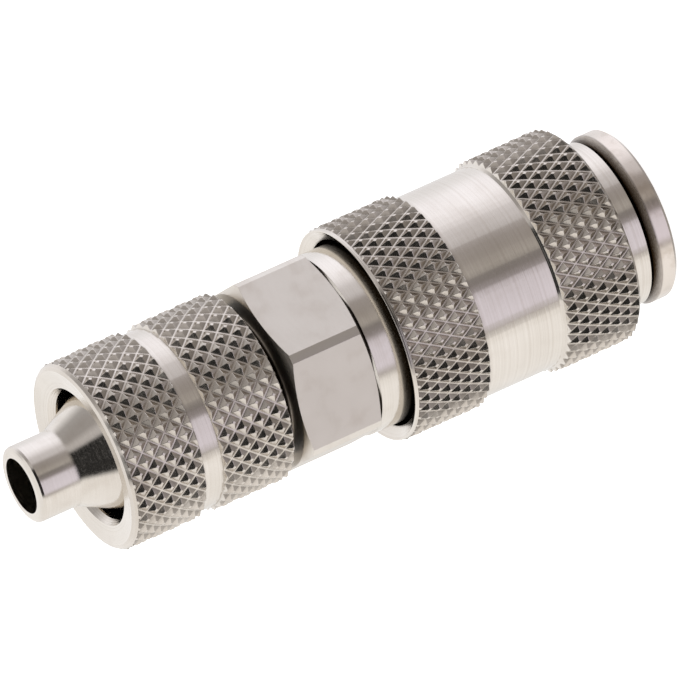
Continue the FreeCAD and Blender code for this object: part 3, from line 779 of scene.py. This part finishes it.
union_nut = nut.finish("union_nut_knurled")
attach(union_nut, "nut")
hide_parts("union_nut")

# %% [markdown]
# ## Hose adapter
#
# The adapter's solid is right but for one edge: seen from the hose end, the bevel between collar and
# hexagon is so steep that only a thin dark line of it shows. Drawing the whole piece anew could lose its
# exact flats, so a copy of the solid's mesh is pressed together along the axis there, toward the hexagon's
# corners. The stored normals of the bevel lean over by the same share, and those of flats and tubes have no
# part along the axis, so they stay as they are.

# %% Hose adapter
COLLAR_END, CORNER_START = 16.29, 17.06
BEVEL_RADIUS = 4.4
BEVEL_SHARE = 0.45


def on_bevel(point):
    """Tell whether a point lies between the collar's end and the hexagon's corners."""
    return COLLAR_END < point.z / MM < CORNER_START and math.hypot(point.x, point.y) / MM > BEVEL_RADIUS


adapter_mesh = nodes["hose_adapter"].data.copy()
bevel_points = {vertex.index for vertex in adapter_mesh.vertices if on_bevel(vertex.co)}
normals = [normal.vector.copy() for normal in adapter_mesh.corner_normals]
for loop, normal in zip(adapter_mesh.loops, normals):
    if loop.vertex_index in bevel_points:
        normal.z /= BEVEL_SHARE
        normal.normalize()
corner_height = max(adapter_mesh.vertices[index].co.z for index in bevel_points)
for index in bevel_points:
    point = adapter_mesh.vertices[index].co
    point.z = corner_height - BEVEL_SHARE * (corner_height - point.z)
adapter_mesh.normals_split_custom_set(normals)
adapter_mesh.materials.clear()
adapter_mesh.materials.append(adapter_plating)
hose_adapter = bpy.data.objects.new("hose_adapter_bevelled", adapter_mesh)
bpy.context.scene.collection.objects.link(hose_adapter)
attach(hose_adapter, "body")
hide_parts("hose_adapter")
print("bevel points:", len(bevel_points), "corner height in mm:", round(corner_height / MM, 2))

# %% [markdown]
# ## Springs
#
# Both springs are wound from round wire, with the last turn at each end wound close. A curve with a round
# profile could make one, but a tube of rings along a helix gives full control of the pitch: one wire at
# the ends and wide in between.

# %% Coil of wire
WIRE_SIDES = 12
STEPS_PER_TURN = 48
CLOSE_TURN = 1.02


def wire_ring(mesh, mean_radius, half_wire, turn, height):
    """Add one ring of points around the wire."""
    ring = []
    for side in range(WIRE_SIDES):
        lean = 2 * math.pi * side / WIRE_SIDES
        reach = mean_radius + half_wire * math.cos(lean)
        ring.append(mesh.verts.new((reach * math.cos(turn), reach * math.sin(turn),
                                    height + half_wire * math.sin(lean))))
    return ring


def coil(low, high, wire, turns):
    """Return the mesh of a spring with closed end turns between two corners of its box."""
    half_wire = wire * MM / 2
    start, end = low.z + half_wire, high.z - half_wire
    close_pitch = CLOSE_TURN * wire * MM
    wide_pitch = (end - start - 2 * close_pitch) / (turns - 2)
    mesh = bmesh.new()
    rings = []
    for step in range(round(turns * STEPS_PER_TURN) + 1):
        done = step / STEPS_PER_TURN
        closed = min(done, 1) + max(done - turns + 1, 0)
        height = start + closed * close_pitch + (done - closed) * wide_pitch
        rings.append(wire_ring(mesh, high.x - half_wire, half_wire, 2 * math.pi * done, height))
    for before, after in zip(rings, rings[1:]):
        for side in range(WIRE_SIDES):
            beside = (side + 1) % WIRE_SIDES
            mesh.faces.new((before[side], before[beside], after[beside], after[side]))
    mesh.faces.new(rings[0])
    mesh.faces.new(rings[-1])
    return mesh


# %% Springs
WIRE_END_ANGLE = math.radians(40)


def wound_spring(name, node, wire, turns):
    """Wind a spring in the place of its solid."""
    low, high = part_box(node)
    piece = mesh_piece(name, coil(low, high, wire, turns), WIRE_END_ANGLE, spring_wire)
    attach(piece, "body")
    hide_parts(node)
    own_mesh(piece)


wound_spring("sleeve_spring_wound", "sleeve_spring", wire=0.45, turns=5.6)
wound_spring("valve_spring_wound", "valve_spring", wire=0.30, turns=6.6)

# %% [markdown]
# ## Finishes on the carried-over solids
#
# Body, poppet, balls and seals keep their solids, because turned faces are exact there. Each solid gets
# the finish of its slot in the record, and the body, which has the mouth flange, gets the tanned one.

# %% Dress the solids
FINISH_OF_SLOT = {"plated_brass": adapter_plating, "bare_brass": turned_brass, "ball_steel": ball_steel,
                  "spring_steel": spring_wire, "seal_rubber": seal_rubber}
for subpart in frame["record"]["subparts"]:
    solid = nodes[subpart["node"]]
    solid.data.materials.clear()
    solid.data.materials.append(FINISH_OF_SLOT[subpart["material_slot"]])
nodes["socket_body"].data.materials[0] = flange_plating
